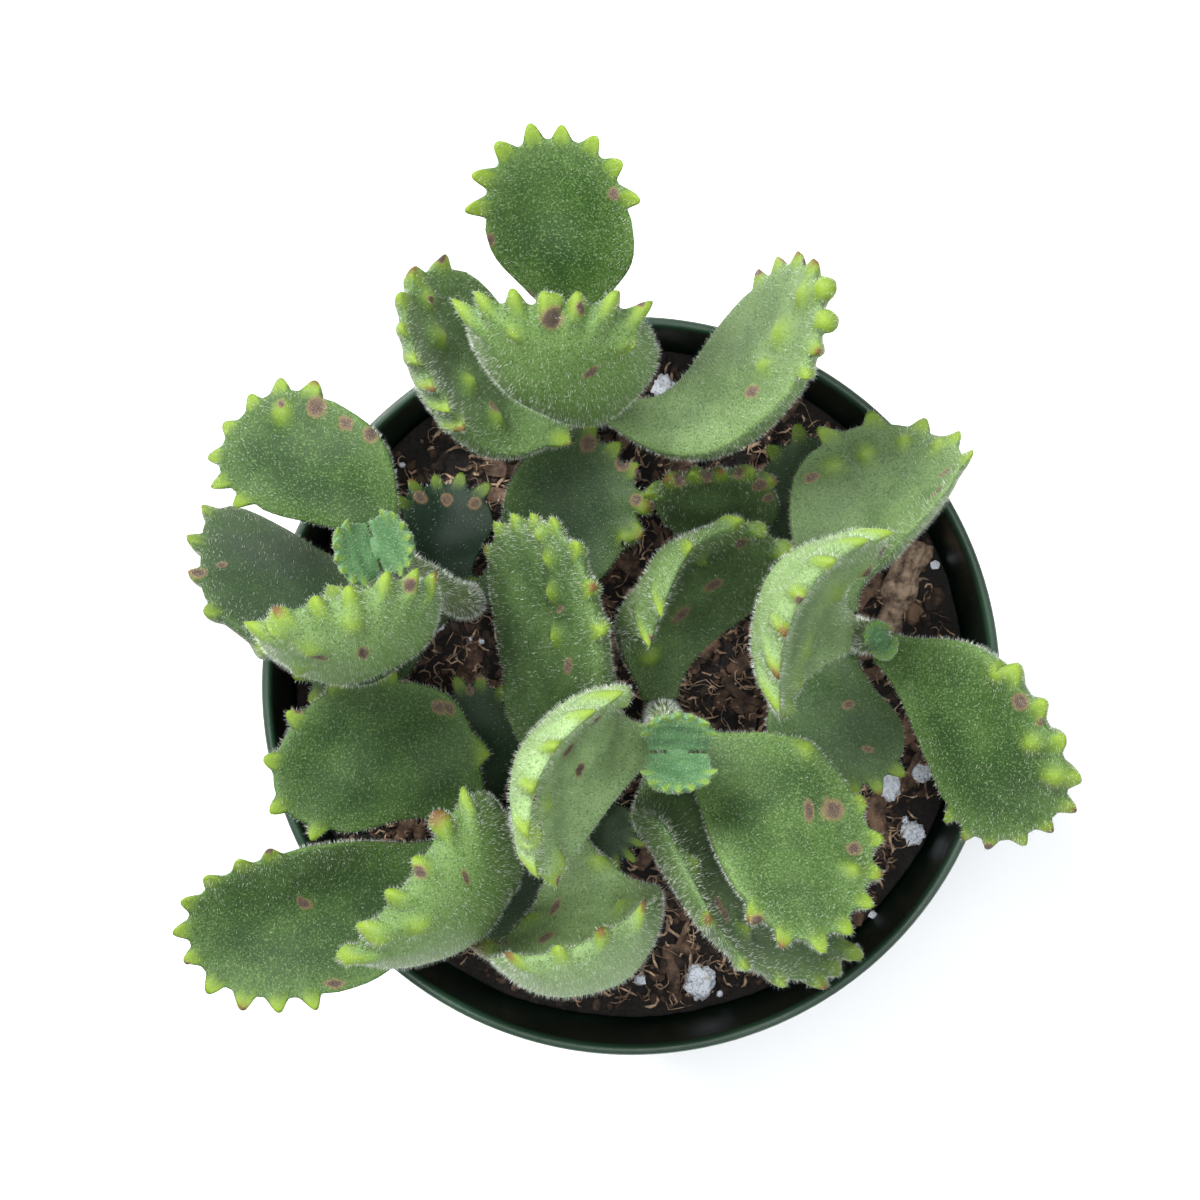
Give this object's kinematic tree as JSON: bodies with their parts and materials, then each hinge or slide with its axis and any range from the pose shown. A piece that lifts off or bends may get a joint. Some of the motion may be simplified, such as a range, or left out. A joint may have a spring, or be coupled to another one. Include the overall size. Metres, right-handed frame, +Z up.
{
  "type": "potted succulent",
  "caption": "Bear's paw succulent with thick hairy leaves toothed at the tips, on short shoots in soil, growing in a round plastic nursery pot.",
  "frame": {"origin": "the middle of the pot's flat underside, on the pot's axis", "axes": "+Z up along the pot's axis, +Y towards the top edge of the picture and +X towards its right edge, as the camera looks straight down"},
  "size_m": [0.1261, 0.1305, 0.1474],
  "materials": {
    "pot": "satin moulded plastic, dark green, slightly paler lip",
    "soil": "loose dark brown peat and coir with shreds of bark",
    "leaf": "velvety green leaf with short white hairs and yellow-green teeth",
    "stem": "pale grey-green hairy stem",
    "bud": "fresh green young leaves with white hairs",
    "perlite": "rough white grain",
    "dried_stem": "dry split wood, pale brown"
  },
  "bodies": {
    "root": {"pot": "pot", "soil": "soil", "north_stem": "stem", "west_stem": "stem", "centre_stem": "stem", "east_stem": "stem", "southwest_stem": "stem", "south_stem": "stem", "middle_stem": "stem", "north_leaf_1": "leaf", "north_leaf_2": "leaf", "north_leaf_3": "leaf", "north_leaf_4": "leaf", "west_leaf_1": "leaf", "west_leaf_2": "leaf", "west_leaf_3": "leaf", "west_leaf_4": "leaf", "west_leaf_5": "leaf", "west_leaf_6": "leaf", "southwest_leaf_1": "leaf", "southwest_leaf_2": "leaf", "southwest_leaf_3": "leaf", "southwest_leaf_4": "leaf", "south_leaf_1": "leaf", "south_leaf_2": "leaf", "south_leaf_3": "leaf", "south_leaf_4": "leaf", "centre_leaf_1": "leaf", "centre_leaf_2": "leaf", "centre_leaf_3": "leaf", "centre_leaf_4": "leaf", "east_leaf_1": "leaf", "east_leaf_2": "leaf", "east_leaf_3": "leaf", "east_leaf_4": "leaf", "middle_leaf_1": "leaf", "middle_leaf_2": "leaf", "west_bud": "bud", "centre_bud": "bud", "east_bud": "bud", "perlite_grain_1": "perlite", "perlite_grain_2": "perlite", "perlite_grain_3": "perlite", "perlite_grain_4": "perlite", "perlite_grain_5": "perlite", "dried_stem": "dried_stem"}
  },
  "joints": []
}
